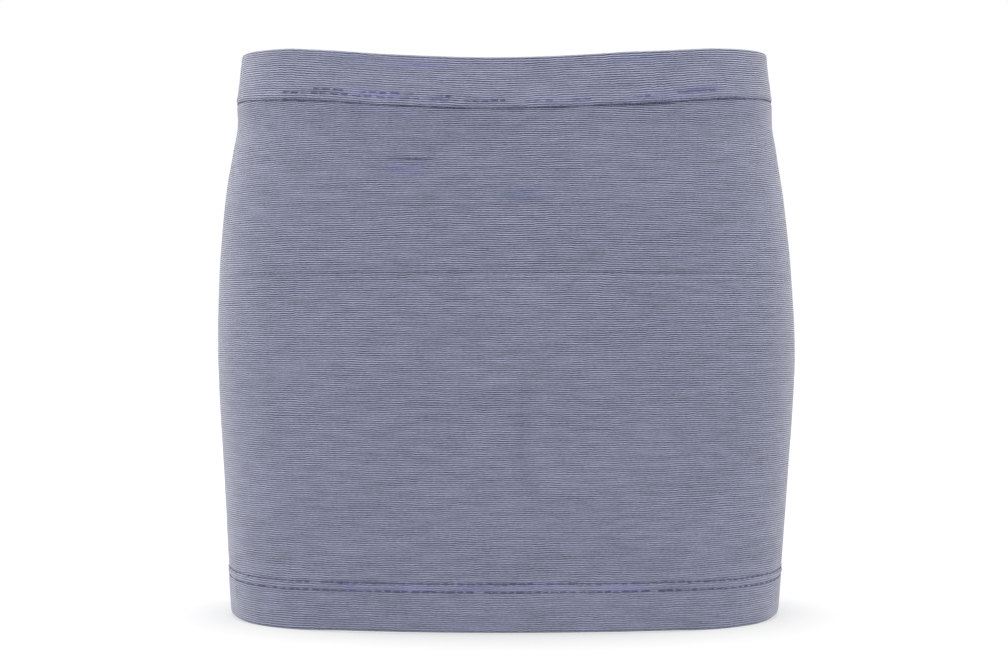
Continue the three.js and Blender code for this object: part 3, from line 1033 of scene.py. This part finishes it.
def ribbed_jersey():
    material, tree, shader = new_material("ribbed_jersey")
    place = field(tree, "place", "Vector")
    outside = node(tree, "ShaderNodeSeparateXYZ", {"Vector": place}).outputs["Z"]

    # Height across the ribs, from 0 in a valley to 1 on a crest
    wobble = arithmetic(tree, "MULTIPLY_ADD", spots(tree, place, 6.0, 11.0, 1.0, 3.1), 0.8, -0.40)
    phase = arithmetic(tree, "ADD", field(tree, "ribs"), wobble)
    wave = arithmetic(tree, "COSINE", arithmetic(tree, "MULTIPLY", phase, 2 * math.pi))
    patchy = arithmetic(tree, "MULTIPLY_ADD", spots(tree, place, 3.6, 2.0, 1.0, 7.7), 1.9, 0.03)
    strength = arithmetic(tree, "MULTIPLY", field(tree, "strength"), patchy)
    side = arithmetic(tree, "MULTIPLY_ADD", outside, 1 - REVERSE_RIBS, REVERSE_RIBS)
    strength = arithmetic(tree, "MULTIPLY", strength, side)
    swing = arithmetic(tree, "MULTIPLY", wave, arithmetic(tree, "MULTIPLY", strength, -0.5))
    crest = arithmetic(tree, "ADD", swing, 0.5, clamp=True)

    # Colours along and between the ribs, the valleys darker partly in the yarn and partly as painted
    # shade
    blueness = arithmetic(tree, "MULTIPLY", field(tree, "blue"), BLUE_MOST)
    cast = spots(tree, place, 26.0, 13.0, 1.0, 12.7)
    greyness = arithmetic(tree, "MULTIPLY_ADD", cast, 1.6, -0.92, clamp=True)
    colour = mixed(tree, crest, VALLEY_COLOUR_AND_SHADE, CREST_COLOUR)
    colour = mixed(tree, blueness, colour, BLUE_COLOUR)
    colour = mixed(tree, greyness, colour, GREY_COLOUR)

    # Streaks of darker and paler yarn, and the mesh's tone, which adds painted shade and highlight in
    # places
    uneven = 1.0
    for yarn in YARNS:
        streak = spots(tree, place, yarn.wide, yarn.tall, yarn.detail, yarn.shift)
        own = arithmetic(tree, "SUBTRACT", streak, 0.5)
        uneven = arithmetic(tree, "MULTIPLY_ADD", own, yarn.size, uneven)
    uneven = arithmetic(tree, "ADD", uneven, field(tree, "tone"))
    uneven = arithmetic(tree, "MAXIMUM", uneven, DARKEST)
    shade = node(
        tree, "ShaderNodeVectorMath", {"Vector": colour, "Scale": uneven}, operation="SCALE",
    )

    # Knit loops too small for the mesh, and ribs on the reverse side
    loops = spots(tree, place, 0.55, 0.42, 1.0, 2.2)
    reverse = arithmetic(tree, "MULTIPLY", crest, arithmetic(tree, "SUBTRACT", 1.0, outside))
    height = arithmetic(tree, "ADD", loops, reverse)
    finish_shader(tree, shader, shade.outputs["Vector"], {"Height": height, **KNIT_BUMP}, {
        "Roughness": 0.9,
        "Specular IOR Level": 0.15,
        "Sheen Weight": 0.45,
        "Sheen Roughness": 0.45,
        "Sheen Tint": (1.0, 0.99, 0.97, 1.0),
    })
    return material


def sewing_thread():
    material, tree, shader = new_material("sewing_thread")
    place = node(tree, "ShaderNodeTexCoord").outputs["Object"]
    twist = node(
        tree, "ShaderNodeTexNoise", {"Vector": place, "Scale": 900.0, "Detail": 2.0},
    ).outputs["Fac"]
    colour = mixed(tree, twist, THREAD_DARK, THREAD_LIGHT)
    finish_shader(tree, shader, colour, {"Height": twist, **THREAD_BUMP}, {
        "Roughness": 0.7,
        "Specular IOR Level": 0.25,
        "Sheen Weight": 0.15,
    })
    return material


def studio_white():
    """A floor that glows faintly, so that it meets the white background without an edge."""
    material, tree, shader = new_material("studio_white")
    shader.inputs["Base Color"].default_value = (0.33, 0.33, 0.33, 1.0)
    shader.inputs["Roughness"].default_value = 1.0
    shader.inputs["Specular IOR Level"].default_value = 0.0
    shader.inputs["Emission Color"].default_value = (1.0, 1.0, 1.0, 1.0)
    shader.inputs["Emission Strength"].default_value = 0.53
    return material


# Studio

FLOOR_LEVEL = -343.2
FLOOR_HALF = 20000.0
CAMERA_DISTANCE = 1300.0
CAMERA_LEVEL = -173.5
CAMERA_LENS = 74.286
SENSOR_WIDTH = 36.0
FAR_CLIP = 100.0

# A light is a sun at the direction that it comes from, in watts per square metre, and its spread is
# the angle that it fills, in degrees
Light = namedtuple("Light", "name comes_from energy spread")
LIGHTS = [
    Light("overhead", (0.0, 0.13, 1.0), 2.2, 26),
    Light("left", (-1.0, 0.52, 0.25), 1.25, 50),
    Light("right", (1.0, 0.52, 0.25), 0.66, 50),
]


def studio():
    """The world, floor, lights and camera."""
    scene = bpy.context.scene
    scene.view_settings.view_transform = "Standard"

    world = bpy.data.worlds.new("studio")
    world.use_nodes = True
    world.node_tree.nodes["Background"].inputs["Color"].default_value = (1.0, 1.0, 1.0, 1.0)
    world.node_tree.nodes["Background"].inputs["Strength"].default_value = 1.0
    scene.world = world

    corners = np.array([(-1, -1), (1, -1), (1, 1), (-1, 1)]) * FLOOR_HALF
    points = np.column_stack([corners, np.full(len(corners), FLOOR_LEVEL)])
    new_mesh("floor", points, [[0, 1, 2, 3]], studio_white())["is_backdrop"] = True

    for light in LIGHTS:
        lamp = bpy.data.lights.new(light.name, "SUN")
        lamp.energy = light.energy
        lamp.angle = math.radians(light.spread)
        placed = bpy.data.objects.new(light.name, lamp)
        placed.rotation_euler = Vector(light.comes_from).to_track_quat("Z", "Y").to_euler()
        scene.collection.objects.link(placed)

    lens = bpy.data.cameras.new("camera")
    lens.lens = CAMERA_LENS
    lens.sensor_width = SENSOR_WIDTH
    lens.sensor_fit = "HORIZONTAL"
    lens.clip_end = FAR_CLIP
    camera = bpy.data.objects.new("camera", lens)
    camera.location = (0.0, -CAMERA_DISTANCE * MM, CAMERA_LEVEL * MM)
    camera.rotation_euler = (math.pi / 2, 0.0, 0.0)
    scene.collection.objects.link(camera)
    scene.camera = camera


GIRTH_POINTS = 241
GIRTH_LEVELS = 33


def half_girth(half, level):
    """Length of the outer face from side seam to side seam at a level, in metres."""
    middle = MIDDLES[half]
    turn = np.linspace(middle - math.pi / 2, middle + math.pi / 2, GIRTH_POINTS)
    line = cloth_point(level, 0.0, turn)
    return float(np.linalg.norm(np.diff(line, axis=0), axis=1).sum()) * MM


def dress():
    """The cloth and its sewing, in place of the solids."""
    jersey = ribbed_jersey()
    thread = sewing_thread()
    for half in MIDDLES:
        panel = body_panel(half, jersey)
        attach(panel, "root")
        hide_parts(f"skirt_{half}")
        levels = np.linspace(BAND_HEIGHT, SKIRT_LENGTH, GIRTH_LEVELS)
        girths = [half_girth(half, level) for level in levels]
        band = waistband(half, jersey)
        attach(band, "root")
        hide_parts(f"waistband_{half}")
        half_girth(half, BAND_HEIGHT / 2)
    for name, rows, under in (
        ("hem_stitches", HEM_STITCHES, panel_inset),
        ("topstitches", TOPSTITCHES, band_inset),
        ("waist_seam_stitches", SEAM_STITCHES, seam_inset),
    ):
        sewing = stitches(name, rows, under, thread)
        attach(sewing, "root")


studio()
dress()

VISUAL_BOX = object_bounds()
({
    "cad": [list(corner) for corner in CAD_BOX],
    "visual": [list(corner) for corner in VISUAL_BOX],
})
